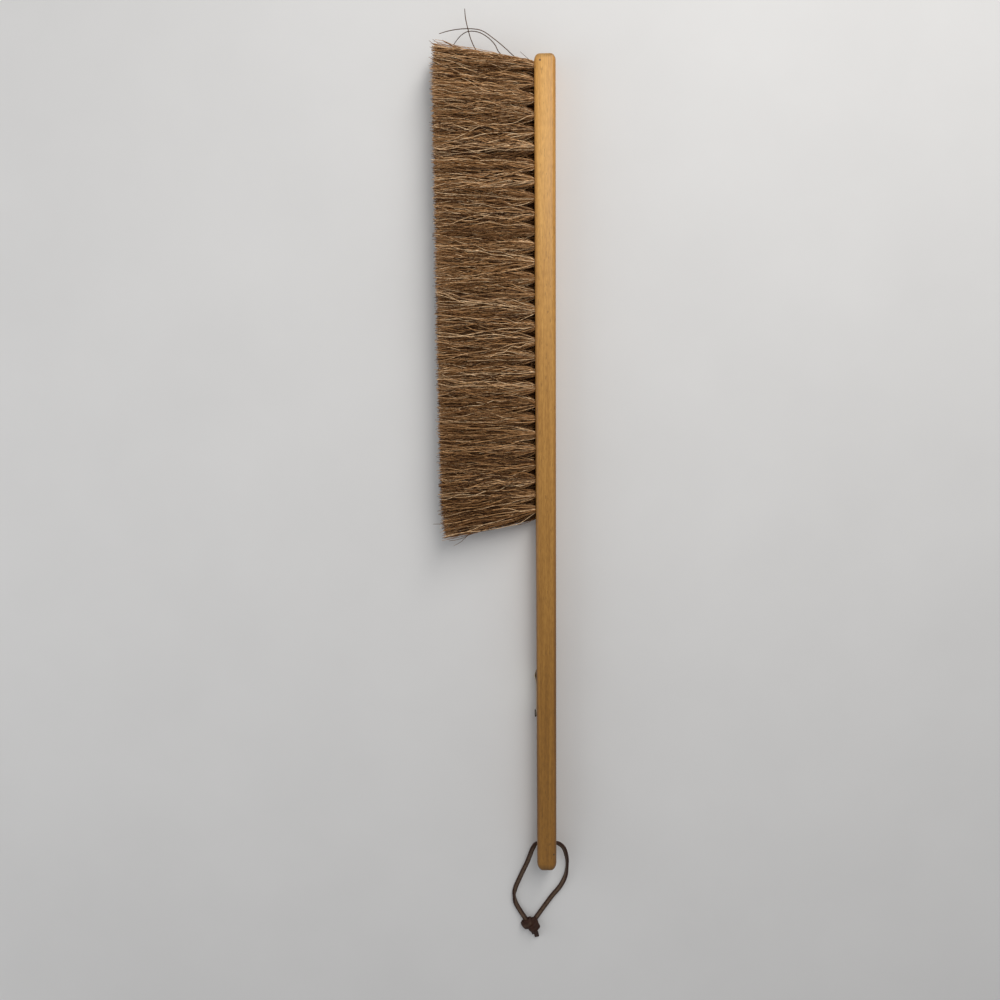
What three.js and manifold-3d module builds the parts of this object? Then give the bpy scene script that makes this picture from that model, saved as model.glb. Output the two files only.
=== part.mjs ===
// A long snow brush: a hardwood bar set with three staggered rows of horsehair tufts, and a leather
// lace, knotted through the end of the handle, to hang it by.
// All sizes are millimetres. The brush lies on one long edge, as it is put down on a table: +Y runs
// along the bar from the lace to the tufts, the tufts point to -X, and +Z is up. The origin is the
// middle of the edge that the bar lies on.

import * as THREE from "three";
import { mergeVertices } from "three/addons/utils/BufferGeometryUtils.js";
import Module from "manifold-3d";

// Bar
const BAR_LENGTH = 685.8;
const BAR_THICKNESS = 17;
const BAR_WIDTH = 28.6;
const EDGE_RADIUS = 3.2;
const EDGE_STEPS = 3;

// Corners of the bar's two ends, seen from above: the handle's end is rounder
const TUFT_END_CORNER = { across: 4.4, along: 5.2 };
const HANDLE_END_CORNER = { across: 5, along: 8 };
const CORNER_STEPS = 4;

// Tuft pattern: the outer rows start nearest to the end of the bar, and the middle row half a pitch later
const ROW_SPACING = 7.5;
const TUFTS_PER_ROW = 29;
const TUFT_PITCH = 12.7;
const FIRST_TUFT = 7.9;
const TUFT_HOLE_DIAMETER = 6.4;
const TUFT_HOLE_DEPTH = 10;
const HOLE_SIDES = 8;

// Slice of the bar that the strands of a row are fused to
const SLICE_THICKNESS = 1.2;
const SLICE_END_MARGIN = 3.6;

// Steel anchor under the fold of each tuft
const ANCHOR_THICKNESS = 1;
const ANCHOR_WIDTH = 3.4;
const ANCHOR_HEIGHT = 2.2;

// Hair: each tuft is four locks that fan out, and the hair spreads past both ends of the rows
const TRIM = 82.5;
const TRIM_UNEVEN = 1.2;
const LOCKS_PER_TUFT = 4;
const LOCK_SIDES = 3;
const LOCK_RADIUS = { root: 0.8, fan: 1.3, tip: 1.5 };
const LOCK_SPREAD = { root: 1.7, fan: 3.3, tip: 4.7 };
const LOCK_TURN = 0.2;
const FAN_SHARE = 0.25;
const LOCK_ROOT_DEPTH = 0.5;
const END_FLARE = 12;
const FLARE_POWER = 6;

// How far the tips of each row lean across the bar: the lower row lies flat on the table
const LEAN_LOWER = -0.8;
const LEAN_MIDDLE = 2.8;
const LEAN_UPPER = 7.2;

// Lace hole through the handle, with eased mouths
const LACE_HOLE_DIAMETER = 6.4;
const LACE_HOLE_FROM_END = 20;
const LACE_HOLE_EASE = 1.4;
const LACE_HOLE_SIDES = 16;

// Lace and knot
const LACE_WIDTH = 4.2;
const LACE_THICKNESS = 2;
const LACE_CORNER = 0.5;
const LACE_STEPS = 72;
const KNOT_CENTRE = { out: 5.9, along: -87, height: 4.3 };
const KNOT_HALF = { x: 6.4, y: 6.6, z: 4 };
const WRAP_RADIUS = 5.4;
const WRAP_TUBE = 2.4;
const WRAP_FLATNESS = 0.54;
const WRAP_LEAN = THREE.MathUtils.degToRad(24);
const TAIL_LENGTHS = [14.5, 11.5];
const TAIL_TURNS = [THREE.MathUtils.degToRad(20), THREE.MathUtils.degToRad(-4)];
const TAIL_HEIGHT = 2.2;

// Clearance between pieces that seat on each other
const SEAT_GAP = 0.3;

// Lace route on each side of the bar, from its mouth to the knot: how far it is out of the bar's face,
// how far along the bar from the hole, and how high above the table
const TUFT_SIDE_LEG = [
  { out: 0.7, along: -0.7, height: 14.2 },
  { out: 3.7, along: -5.5, height: 13.4 },
  { out: 8.7, along: -20.5, height: 9.6 },
  { out: 15.9, along: -39, height: 4.6 },
  { out: 20.2, along: -51, height: 2.4 },
  { out: 21.1, along: -58, height: 1.9 },
  { out: 19.6, along: -65.5, height: 1.9 },
  { out: 16.1, along: -72, height: 2.3 },
  { out: 11.6, along: -78.8, height: 3 },
  { out: 9.3, along: -82.2, height: 3.6 },
];
const BACK_SIDE_LEG = [
  { out: 1.1, along: -0.3, height: 14.2 },
  { out: 6.2, along: -4.6, height: 13.4 },
  { out: 9.3, along: -14.6, height: 10.6 },
  { out: 9.9, along: -25.5, height: 7 },
  { out: 8.7, along: -36.7, height: 4.2 },
  { out: 3.8, along: -48, height: 2.5 },
  { out: -3.1, along: -57.1, height: 2 },
  { out: -11.5, along: -69.1, height: 2.1 },
  { out: -17.8, along: -78, height: 3 },
  { out: -20.4, along: -81.6, height: 3.6 },
];

// Places worked out from the sizes above
const tuftFaceX = -BAR_THICKNESS / 2;
const barEnd = BAR_LENGTH / 2;
const firstTuftY = barEnd - FIRST_TUFT;
const rowLength = (TUFTS_PER_ROW - 1) * TUFT_PITCH;
const stagger = TUFT_PITCH / 2;
const sliceTopY = firstTuftY + SLICE_END_MARGIN;
const sliceBottomY = firstTuftY - stagger - rowLength - SLICE_END_MARGIN;
const laceHoleY = -barEnd + LACE_HOLE_FROM_END;
const laceHoleZ = BAR_WIDTH / 2;

const rows = [
  { name: "tuft_row_lower", z: BAR_WIDTH / 2 - ROW_SPACING, offset: 0, lean: LEAN_LOWER },
  { name: "tuft_row_middle", z: BAR_WIDTH / 2, offset: stagger, lean: LEAN_MIDDLE },
  { name: "tuft_row_upper", z: BAR_WIDTH / 2 + ROW_SPACING, offset: 0, lean: LEAN_UPPER },
];

const wasm = await Module();
wasm.setup();

// A closed three.js geometry as a solid that can be joined and cut
function solidOf(geometry) {
  const bare = geometry.clone();
  bare.deleteAttribute("normal");
  bare.deleteAttribute("uv");
  const merged = mergeVertices(bare, 1e-4);
  return new wasm.Manifold(new wasm.Mesh({
    numProp: 3,
    vertProperties: new Float32Array(merged.attributes.position.array),
    triVerts: new Uint32Array(merged.index.array),
  }));
}

// A joined or cut solid as a three.js geometry again
function geometryOf(solid) {
  const mesh = solid.getMesh();
  const geometry = new THREE.BufferGeometry();
  geometry.setAttribute("position", new THREE.BufferAttribute(mesh.vertProperties, mesh.numProp));
  geometry.setIndex(new THREE.BufferAttribute(mesh.triVerts, 1));
  const faceted = geometry.toNonIndexed();
  faceted.computeVertexNormals();
  return faceted;
}

function tuftYs(row) {
  const count = [...Array(TUFTS_PER_ROW).keys()];
  return count.map((tuft) => firstTuftY - row.offset - tuft * TUFT_PITCH);
}

// A cylinder or other turned cutter, lying along X
function alongX(geometry, x, y, z) {
  return geometry.rotateZ(Math.PI / 2).translate(x, y, z);
}

// A closed body through rings of points, which turn anticlockwise as seen from the last ring
function loftGeometry(rings) {
  const sides = rings[0].length;
  const index = [];
  for (let ring = 0; ring + 1 < rings.length; ring += 1) {
    for (let side = 0; side < sides; side += 1) {
      const a = ring * sides + side;
      const b = ring * sides + ((side + 1) % sides);
      index.push(a, b, a + sides, b, b + sides, a + sides);
    }
  }
  const last = (rings.length - 1) * sides;
  for (let side = 1; side + 1 < sides; side += 1) {
    index.push(0, side + 1, side, last, last + side, last + side + 1);
  }
  const geometry = new THREE.BufferGeometry();
  geometry.setFromPoints(rings.flat());
  geometry.setIndex(index);
  return geometry;
}

// Outline of the bar seen from above, drawn in from its sides by an inset, at one height
function barOutline(inset, height) {
  const corners = [
    { x: 1, y: 1, round: TUFT_END_CORNER },
    { x: -1, y: 1, round: TUFT_END_CORNER },
    { x: -1, y: -1, round: HANDLE_END_CORNER },
    { x: 1, y: -1, round: HANDLE_END_CORNER },
  ];
  const outline = [];
  corners.forEach(({ x, y, round }, corner) => {
    for (let step = 0; step <= CORNER_STEPS; step += 1) {
      const angle = ((corner + step / CORNER_STEPS) * Math.PI) / 2;
      outline.push(new THREE.Vector3(
        x * (BAR_THICKNESS / 2 - round.across) + (round.across - inset) * Math.cos(angle),
        y * (barEnd - round.along) + (round.along - inset) * Math.sin(angle),
        height,
      ));
    }
  });
  return outline;
}

// The bar before drilling: its long edges and the edges of its ends are rounded over
function barBlankGeometry() {
  const lower = [];
  const upper = [];
  for (let step = 0; step <= EDGE_STEPS; step += 1) {
    const angle = (step / EDGE_STEPS) * (Math.PI / 2);
    const inset = EDGE_RADIUS * (1 - Math.sin(angle));
    const rise = EDGE_RADIUS * (1 - Math.cos(angle));
    lower.push(barOutline(inset, rise));
    upper.unshift(barOutline(inset, BAR_WIDTH - rise));
  }
  return loftGeometry([...lower, ...upper]);
}

// Bar: its blank, with a shallow rebate for the three slices, the tuft holes and the lace hole
function barGeometry() {
  let bar = solidOf(barBlankGeometry());
  bar = bar.subtract(solidOf(rebateGeometry()));
  for (const row of rows) {
    for (const y of tuftYs(row)) {
      bar = bar.subtract(solidOf(tuftHoleGeometry(y, row.z)));
    }
  }
  bar = bar.subtract(solidOf(laceHoleGeometry()));
  return geometryOf(bar);
}

// The rebate reaches out past the tuft face, so that it is open there
function rebateGeometry() {
  const depth = SLICE_THICKNESS + SEAT_GAP;
  const open = EDGE_RADIUS;
  const length = sliceTopY - sliceBottomY + 2 * SEAT_GAP;
  const width = rows.length * ROW_SPACING + SEAT_GAP;
  const box = new THREE.BoxGeometry(depth + open, length, width);
  return box.translate(tuftFaceX + (depth - open) / 2, (sliceTopY + sliceBottomY) / 2, BAR_WIDTH / 2);
}

function tuftHoleGeometry(y, z) {
  const radius = TUFT_HOLE_DIAMETER / 2;
  const hole = new THREE.CylinderGeometry(radius, radius, TUFT_HOLE_DEPTH, HOLE_SIDES);
  return alongX(hole, tuftFaceX + TUFT_HOLE_DEPTH / 2, y, z);
}

function laceHoleGeometry() {
  const radius = LACE_HOLE_DIAMETER / 2;
  const face = BAR_THICKNESS / 2;
  const mouth = radius + LACE_HOLE_EASE;
  const past = face + EDGE_RADIUS;
  const profile = [
    new THREE.Vector2(0, -past),
    new THREE.Vector2(mouth, -past),
    new THREE.Vector2(mouth, -face),
    new THREE.Vector2(radius, -face + LACE_HOLE_EASE),
    new THREE.Vector2(radius, face - LACE_HOLE_EASE),
    new THREE.Vector2(mouth, face),
    new THREE.Vector2(mouth, past),
    new THREE.Vector2(0, past),
  ];
  return alongX(new THREE.LatheGeometry(profile, LACE_HOLE_SIDES), 0, laceHoleY, laceHoleZ);
}

// Row of tufts: its slice of the backing, the folded root and anchor in each hole, and the locks of hair
function tuftRowGeometry(row) {
  let solid = solidOf(sliceGeometry(row));
  tuftYs(row).forEach((y, tuft) => {
    solid = solid.add(solidOf(rootGeometry(y, row.z)));
    solid = solid.add(solidOf(anchorGeometry(y, row.z)));
    for (let lock = 0; lock < LOCKS_PER_TUFT; lock += 1) {
      solid = solid.add(solidOf(lockGeometry(row, y, tuft, lock)));
    }
  });
  return geometryOf(solid);
}

function sliceGeometry(row) {
  const box = new THREE.BoxGeometry(SLICE_THICKNESS, sliceTopY - sliceBottomY, ROW_SPACING - SEAT_GAP);
  return box.translate(tuftFaceX + SLICE_THICKNESS / 2, (sliceTopY + sliceBottomY) / 2, row.z);
}

// The fold of the tuft stands on its anchor, which stands clear of the hole's floor
function rootGeometry(y, z) {
  const radius = TUFT_HOLE_DIAMETER / 2 - SEAT_GAP;
  const top = tuftFaceX + SLICE_THICKNESS / 2;
  const bottom = tuftFaceX + TUFT_HOLE_DEPTH - SEAT_GAP - ANCHOR_HEIGHT;
  const root = new THREE.CylinderGeometry(radius, radius, bottom - top, HOLE_SIDES);
  return alongX(root, (top + bottom) / 2, y, z);
}

function anchorGeometry(y, z) {
  const bottom = tuftFaceX + TUFT_HOLE_DEPTH - SEAT_GAP;
  const length = ANCHOR_HEIGHT + ANCHOR_THICKNESS;
  const anchor = new THREE.BoxGeometry(length, ANCHOR_WIDTH, ANCHOR_THICKNESS);
  return anchor.translate(bottom - length / 2, y, z);
}

// How far the tips of a tuft lean along the bar: nothing in the middle, and most at both ends
function endFlare(y) {
  const share = (y - (firstTuftY - rowLength / 2)) / (rowLength / 2);
  return END_FLARE * Math.sign(share) * Math.abs(share) ** FLARE_POWER;
}

// One lock of hair: rings of LOCK_SIDES points at its root, where the tuft has fanned out, and at its tip
function lockGeometry(row, y, tuft, lock) {
  const turn = LOCK_TURN * Math.sin(11 * tuft + row.z);
  const angle = turn + ((lock + 0.5) * 2 * Math.PI) / LOCKS_PER_TUFT;
  const length = TRIM + TRIM_UNEVEN * Math.sin(17 * tuft + 5 * lock);
  const sides = [...Array(LOCK_SIDES).keys()].map((side) => angle - (side * 2 * Math.PI) / LOCK_SIDES);
  const ringAt = (reach, share, spread, radius) => sides.map((side) => new THREE.Vector3(
    tuftFaceX - reach,
    y + share * endFlare(y) + spread * Math.cos(angle) + radius * Math.cos(side),
    row.z + share * row.lean + spread * Math.sin(angle) + radius * Math.sin(side),
  ));
  const rings = [
    ringAt(-LOCK_ROOT_DEPTH, 0, LOCK_SPREAD.root, LOCK_RADIUS.root),
    ringAt(FAN_SHARE * length, FAN_SHARE, LOCK_SPREAD.fan, LOCK_RADIUS.fan),
    ringAt(length, 1, LOCK_SPREAD.tip, LOCK_RADIUS.tip),
  ];
  return loftGeometry(rings);
}

// A place on the lace, on the tuft side (-1) or the back side (+1) of the bar
function lacePoint(side, place) {
  return new THREE.Vector3(side * (BAR_THICKNESS / 2 + place.out), laceHoleY + place.along, place.height);
}

// The lace from inside the knot, through the hole and back to the knot, with each end lengthened by extra
function laceCurve(extra) {
  const through = BAR_THICKNESS / 4;
  const points = [
    ...TUFT_SIDE_LEG.map((place) => lacePoint(-1, place)).reverse(),
    new THREE.Vector3(-through, laceHoleY, laceHoleZ),
    new THREE.Vector3(through, laceHoleY, laceHoleZ),
    ...BACK_SIDE_LEG.map((place) => lacePoint(1, place)),
  ];
  const lengthen = (end, inner) => end.add(end.clone().sub(inner).setLength(extra));
  if (extra > 0) {
    lengthen(points[0], points[1]);
    lengthen(points[points.length - 1], points[points.length - 2]);
  }
  return new THREE.CatmullRomCurve3(points, false, "centripetal");
}

// Flat strip with eased corners, grown by a clearance all round
function laceSection(grow) {
  const x = LACE_THICKNESS / 2 + grow;
  const y = LACE_WIDTH / 2 + grow;
  const corner = LACE_CORNER;
  return new THREE.Shape([
    new THREE.Vector2(x, -y + corner),
    new THREE.Vector2(x, y - corner),
    new THREE.Vector2(x - corner, y),
    new THREE.Vector2(-x + corner, y),
    new THREE.Vector2(-x, y - corner),
    new THREE.Vector2(-x, -y + corner),
    new THREE.Vector2(-x + corner, -y),
    new THREE.Vector2(x - corner, -y),
  ]);
}

function laceGeometry(grow) {
  return new THREE.ExtrudeGeometry(laceSection(grow), { steps: LACE_STEPS, extrudePath: laceCurve(grow) });
}

// Overhand knot: a core, the turn that wraps round it and two cut tails, let out for the lace's ends
function knotGeometry() {
  const core = new THREE.SphereGeometry(1, 16, 10).scale(KNOT_HALF.x, KNOT_HALF.y, KNOT_HALF.z);
  const wrap = new THREE.TorusGeometry(WRAP_RADIUS, WRAP_TUBE, 8, 20);
  wrap.scale(1, WRAP_FLATNESS, 1).rotateX(Math.PI / 2).rotateZ(WRAP_LEAN);
  let knot = solidOf(core).add(solidOf(wrap));
  TAIL_LENGTHS.forEach((length, tail) => {
    const strip = new THREE.BoxGeometry(LACE_WIDTH, length, LACE_THICKNESS);
    strip.translate(0, -length / 2, TAIL_HEIGHT - KNOT_CENTRE.height).rotateZ(TAIL_TURNS[tail]);
    knot = knot.add(solidOf(strip));
  });
  const centre = lacePoint(-1, KNOT_CENTRE);
  const placed = geometryOf(knot).translate(centre.x, centre.y, centre.z);
  return geometryOf(solidOf(placed).subtract(solidOf(laceGeometry(SEAT_GAP))));
}

function piece(name, geometry, material) {
  const mesh = new THREE.Mesh(geometry, material);
  mesh.name = name;
  return mesh;
}

const wood = new THREE.MeshStandardMaterial({ color: 0xb9853f, roughness: 0.38, metalness: 0 });
const horsehair = new THREE.MeshStandardMaterial({ color: 0x5c402b, roughness: 0.6, metalness: 0 });
const leather = new THREE.MeshStandardMaterial({ color: 0x3a2519, roughness: 0.7, metalness: 0 });

const snowBrush = new THREE.Group();
snowBrush.add(piece("handle_bar", barGeometry(), wood));
for (const row of rows) {
  snowBrush.add(piece(row.name, tuftRowGeometry(row), horsehair));
}
const hangLoop = new THREE.Group();
hangLoop.add(piece("hang_lace", laceGeometry(0), leather));
hangLoop.add(piece("lace_knot", knotGeometry(), leather));
snowBrush.add(hangLoop);

export default snowBrush;
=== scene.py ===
"""A long wooden snow brush, dressed for rendering.

Metres, in the model's own frame: +Y runs along the bar from the lace to the tufts, the tufts point to -X,
and +Z is up, away from the table that the brush lies on.
"""
import math

import bmesh
import bpy
import numpy as np
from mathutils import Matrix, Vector


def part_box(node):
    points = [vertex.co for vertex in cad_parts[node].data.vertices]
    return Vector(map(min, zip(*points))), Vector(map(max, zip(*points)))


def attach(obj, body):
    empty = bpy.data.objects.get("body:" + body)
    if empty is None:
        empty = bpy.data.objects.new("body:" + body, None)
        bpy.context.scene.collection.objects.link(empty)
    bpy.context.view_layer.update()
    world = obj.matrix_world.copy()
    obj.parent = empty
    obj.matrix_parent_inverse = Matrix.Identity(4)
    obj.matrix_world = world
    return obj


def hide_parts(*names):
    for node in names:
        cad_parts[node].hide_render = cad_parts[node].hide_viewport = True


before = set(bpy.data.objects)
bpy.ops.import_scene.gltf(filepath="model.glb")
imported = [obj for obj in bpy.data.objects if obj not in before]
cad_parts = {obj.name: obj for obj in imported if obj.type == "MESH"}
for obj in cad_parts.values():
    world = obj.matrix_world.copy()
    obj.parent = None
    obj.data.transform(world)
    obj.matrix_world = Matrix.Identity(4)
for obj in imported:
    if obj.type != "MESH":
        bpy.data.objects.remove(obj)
MM = 0.001
UP = np.array((0.0, 0.0, 1.0))
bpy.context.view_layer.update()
bar_low, bar_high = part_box("handle_bar")
random = np.random.default_rng(29)

# Bar and tuft pattern, as in the CAD model
EDGE_RADIUS = 3.2 * MM
TUFT_END_CORNER = (4.4 * MM, 5.2 * MM)
HANDLE_END_CORNER = (5 * MM, 8 * MM)
ROW_SPACING = 7.5 * MM
TUFTS_PER_ROW = 29
TUFT_PITCH = 12.7 * MM
FIRST_TUFT = 7.9 * MM
TUFT_HOLE_RADIUS = 3.2 * MM
TUFT_HOLE_DEPTH = 6 * MM
TRIM = 82.5 * MM
FLARE_POWER = 6
ROW_LEANS = {"lower": -0.8 * MM, "middle": 2.8 * MM, "upper": 7.2 * MM}
LACE_HOLE_RADIUS = 3.2 * MM
LACE_HOLE_EASE = 1.4 * MM
LACE_HOLE_FROM_END = 20 * MM

TUFT_FACE_X = bar_low.x
BACK_FACE_X = bar_high.x
BAR_MIDDLE_Z = (bar_low.z + bar_high.z) / 2
FIRST_TUFT_Y = bar_high.y - FIRST_TUFT
ROW_LENGTH = (TUFTS_PER_ROW - 1) * TUFT_PITCH
LACE_HOLE = Vector((0, bar_low.y + LACE_HOLE_FROM_END, BAR_MIDDLE_Z))

# Lace route on each side of the bar, as in the CAD model, from its mouth to the knot: how far it is out of
# the bar's face, how far along the bar from the hole, and how high above the table. The last number is how
# far the flat strip is rolled on edge, in degrees.
TUFT_SIDE_LEG = [
    (0.0007, -0.0007, 0.0142, 45),
    (0.0037, -0.0055, 0.0134, 22),
    (0.0087, -0.0205, 0.0096, 5),
    (0.0159, -0.0390, 0.0046, 0),
    (0.0202, -0.0510, 0.0024, 14),
    (0.0211, -0.0580, 0.0019, 72),
    (0.0196, -0.0655, 0.0019, 22),
    (0.0161, -0.0720, 0.0023, 0),
    (0.0116, -0.0788, 0.0030, 0),
    (0.0093, -0.0822, 0.0036, 0),
]
BACK_SIDE_LEG = [
    (0.0011, -0.0003, 0.0142, 35),
    (0.0062, -0.0046, 0.0134, 32),
    (0.0093, -0.0146, 0.0106, 48),
    (0.0099, -0.0255, 0.0070, 72),
    (0.0087, -0.0367, 0.0042, 52),
    (0.0038, -0.0480, 0.0025, 12),
    (-0.0031, -0.0571, 0.0020, 0),
    (-0.0115, -0.0691, 0.0021, 0),
    (-0.0178, -0.0780, 0.0030, 0),
    (-0.0204, -0.0816, 0.0036, 0),
]
LACE_WIDTH = 4.2 * MM
LACE_THICKNESS = 2.0 * MM
KNOT_CENTRE = Vector((TUFT_FACE_X - 5.9 * MM, LACE_HOLE.y - 87 * MM, 4.3 * MM))

# Blank label on the tuft side of the handle: its place along the bar, its width, and the distances from its
# lower end between which it darkens: dirt, and painted shade in its roll
LABEL_TOP = -165.6 * MM
LABEL_BOTTOM = -202.8 * MM
LABEL_WIDTH = 16 * MM
LABEL_DIRT_AND_SHADE = (5.5 * MM, 1 * MM)

# Camera, fitted to both ends of the bar and to the tufts in the photograph
CAMERA_PLACE = (-0.008, 0.1084, 0.8550)
CAMERA_TURN = (-8.272, 2.030, -0.515)
CAMERA_LENS = 36
CAMERA_SENSOR = 36


# Small helpers

def add_piece(name, vertices, faces, material, body):
    """A smooth mesh object that rides on a body."""
    mesh = bpy.data.meshes.new(name)
    mesh.from_pydata(vertices, [], faces)
    mesh.shade_smooth()
    mesh.materials.append(material)
    piece = bpy.data.objects.new(name, mesh)
    bpy.context.scene.collection.objects.link(piece)
    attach(piece, body)
    return piece


def add_values(piece, name, values):
    """A number for each vertex of a piece, which its material can read."""
    layer = piece.data.attributes.new(name, "FLOAT", "POINT")
    layer.data.foreach_set("value", np.asarray(values, np.float32))


def add_node(tree, kind, inputs=None, **settings):
    """A node with its settings, and its inputs linked to sockets or set to values."""
    made = tree.nodes.new(kind)
    for name, value in settings.items():
        setattr(made, name, value)
    for name, value in (inputs or {}).items():
        if isinstance(value, bpy.types.NodeSocket):
            tree.links.new(value, made.inputs[name])
        else:
            made.inputs[name].default_value = value
    return made


# Noise textures: their cells to a metre along X, Y and Z, their detail and how far they are distorted
TEXTURES = {
    "cloth_mottle": ((9, 9, 9), 4, 0),
    "wood_bands": ((260, 5, 190), 4, 0.4),
    "wood_fibres": ((1500, 26, 1500), 3, 0),
    "wood_flecks": ((950, 150, 950), 1.5, 0),
    "wood_blotches": ((40, 11, 40), 3, 0),
    "wood_mottle": ((800, 170, 800), 2, 0),
    "hair_locks_and_sheen": ((90, 800, 800), 3, 0),
    "hair_painted_glints": ((380, 1800, 1800), 2, 0),
    "leather_wear": ((420, 420, 420), 4, 0),
    "leather_pores": ((2600, 2600, 2600), 2, 0),
    "paper_stains": ((160, 160, 160), 5, 0),
    "paper_fibres": ((1800, 700, 1800), 3, 0),
}
TEXTURE_ROUGHNESS = 0.55


def texture(tree, name):
    """One of the noise textures, in object coordinates."""
    cells, detail, distortion = TEXTURES[name]
    place = add_node(tree, "ShaderNodeTexCoord").outputs["Object"]
    stretched = add_node(tree, "ShaderNodeMapping", {"Vector": place, "Scale": cells}).outputs["Vector"]
    values = {
        "Vector": stretched,
        "Scale": 1.0,
        "Detail": detail,
        "Roughness": TEXTURE_ROUGHNESS,
        "Distortion": distortion,
    }
    return add_node(tree, "ShaderNodeTexNoise", values).outputs["Fac"]


def ramp(tree, factor, stops):
    """A colour ramp through (position, colour) stops."""
    made = add_node(tree, "ShaderNodeValToRGB", {"Fac": factor})
    points = made.color_ramp.elements
    while len(points) < len(stops):
        points.new(1.0)
    for point, (position, colour) in zip(points, stops):
        point.position = position
        point.color = (*colour, 1.0)
    return made.outputs["Color"]


def calculate(tree, operation, first, second=0.0):
    """One or two values put through a mathematical operation."""
    return add_node(tree, "ShaderNodeMath", {0: first, 1: second}, operation=operation).outputs["Value"]


def spread(tree, factor, low, high, to_low=0.0, to_high=1.0):
    """A value mapped from one range to another, and kept in it."""
    values = {"Value": factor, "From Min": low, "From Max": high, "To Min": to_low, "To Max": to_high}
    return add_node(tree, "ShaderNodeMapRange", values).outputs["Result"]


def mix(tree, factor, first, second, blend="MIX"):
    """Two colours mixed by a factor."""
    made = tree.nodes.new("ShaderNodeMix")
    made.data_type = "RGBA"
    made.blend_type = blend
    for index, value in ((0, factor), (6, first), (7, second)):
        if isinstance(value, bpy.types.NodeSocket):
            tree.links.new(value, made.inputs[index])
        elif index == 0:
            made.inputs[index].default_value = value
        else:
            made.inputs[index].default_value = (*value, 1.0)
    return made.outputs[2]


def new_material(name):
    """A material with its node tree and its Principled shader."""
    material = bpy.data.materials.new(name)
    material.use_nodes = True
    return material, material.node_tree, material.node_tree.nodes["Principled BSDF"]


def set_inputs(shader, values):
    """Sets inputs of a shader that are the same all over its surface."""
    for name, value in values.items():
        shader.inputs[name].default_value = value


def add_bump(tree, shader, height, strength, depth):
    """Bumps the surface of a shader by a height from 0 to 1."""
    bump = add_node(tree, "ShaderNodeBump", {"Strength": strength, "Distance": depth, "Height": height})
    tree.links.new(bump.outputs["Normal"], shader.inputs["Normal"])


def through(points, steps):
    """A smooth line through points: a centripetal Catmull-Rom spline, with some steps to each span."""
    knots = np.asarray(points, float)
    first = 2 * knots[0] - knots[1]
    last = 2 * knots[-1] - knots[-2]
    knots = np.vstack([first, knots, last])
    line = []
    for span in range(1, len(knots) - 2):
        p0, p1, p2, p3 = knots[span - 1:span + 3]
        t1 = np.linalg.norm(p1[:3] - p0[:3]) ** 0.5
        t2 = t1 + np.linalg.norm(p2[:3] - p1[:3]) ** 0.5
        t3 = t2 + np.linalg.norm(p3[:3] - p2[:3]) ** 0.5
        for t in np.linspace(t1, t2, steps, endpoint=False):
            a1 = (t1 - t) / t1 * p0 + t / t1 * p1
            a2 = (t2 - t) / (t2 - t1) * p1 + (t - t1) / (t2 - t1) * p2
            a3 = (t3 - t) / (t3 - t2) * p2 + (t - t2) / (t3 - t2) * p3
            b1 = (t2 - t) / t2 * a1 + t / t2 * a2
            b2 = (t3 - t) / (t3 - t1) * a2 + (t - t1) / (t3 - t1) * a3
            line.append((t2 - t) / (t2 - t1) * b1 + (t - t1) / (t2 - t1) * b2)
    line.append(knots[-2])
    return np.array(line)


def unit(vectors):
    return vectors / np.linalg.norm(vectors, axis=-1, keepdims=True)


# Camera, floor and light

# Floor, just below the table height that the brush lies at
FLOOR_HALF_SIDE = 6.0
FLOOR_DROP = 0.2 * MM

# Pale backdrop, and the distances from the middle of the floor between which the floor fades into it
BACKDROP = (0.63, 0.63, 0.625, 1.0)
FLOOR_FADE = (0.62, 1.08)

# Light from all round
SKY_COLOUR = (0.97, 0.98, 1.0, 1.0)
SKY_STRENGTH = 0.38


def make_camera():
    camera = bpy.data.objects.new("camera", bpy.data.cameras.new("camera"))
    camera.data.lens = CAMERA_LENS
    camera.data.sensor_width = CAMERA_SENSOR
    camera.location = CAMERA_PLACE
    camera.rotation_euler = [math.radians(angle) for angle in CAMERA_TURN]
    bpy.context.scene.collection.objects.link(camera)
    bpy.context.scene.camera = camera


def seen(tree):
    """1 where a surface is seen by the camera, in a reflection or through glass, and 0 for other light."""
    path = add_node(tree, "ShaderNodeLightPath").outputs
    seen_or_reflected = calculate(tree, "MAXIMUM", path["Is Camera Ray"], path["Is Glossy Ray"])
    return calculate(tree, "MAXIMUM", seen_or_reflected, path["Is Transmission Ray"])


def floor_material():
    """Pale cloth, a little mottled, which fades into the backdrop far from the brush."""
    material, tree, shader = new_material("pale_cloth")
    mottle = texture(tree, "cloth_mottle")
    colour = ramp(tree, mottle, [(0.3, (0.675, 0.67, 0.665)), (0.7, (0.70, 0.695, 0.69))])
    tree.links.new(colour, shader.inputs["Base Color"])
    set_inputs(shader, {"Roughness": 0.9})
    place = add_node(tree, "ShaderNodeTexCoord").outputs["Object"]
    reach = add_node(tree, "ShaderNodeVectorMath", {0: place}, operation="LENGTH").outputs["Value"]
    near, far = FLOOR_FADE
    fade = add_node(
        tree, "ShaderNodeMapRange", {"Value": reach, "From Min": near, "From Max": far},
        interpolation_type="SMOOTHSTEP").outputs["Result"]
    share = calculate(tree, "MULTIPLY", fade, seen(tree))
    backdrop = add_node(tree, "ShaderNodeEmission", {"Color": BACKDROP}).outputs["Emission"]
    surface = add_node(tree, "ShaderNodeMixShader", {0: share, 1: shader.outputs["BSDF"], 2: backdrop})
    tree.links.new(surface.outputs["Shader"], tree.nodes["Material Output"].inputs["Surface"])
    material.cycles.emission_sampling = "NONE"
    return material


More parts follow.
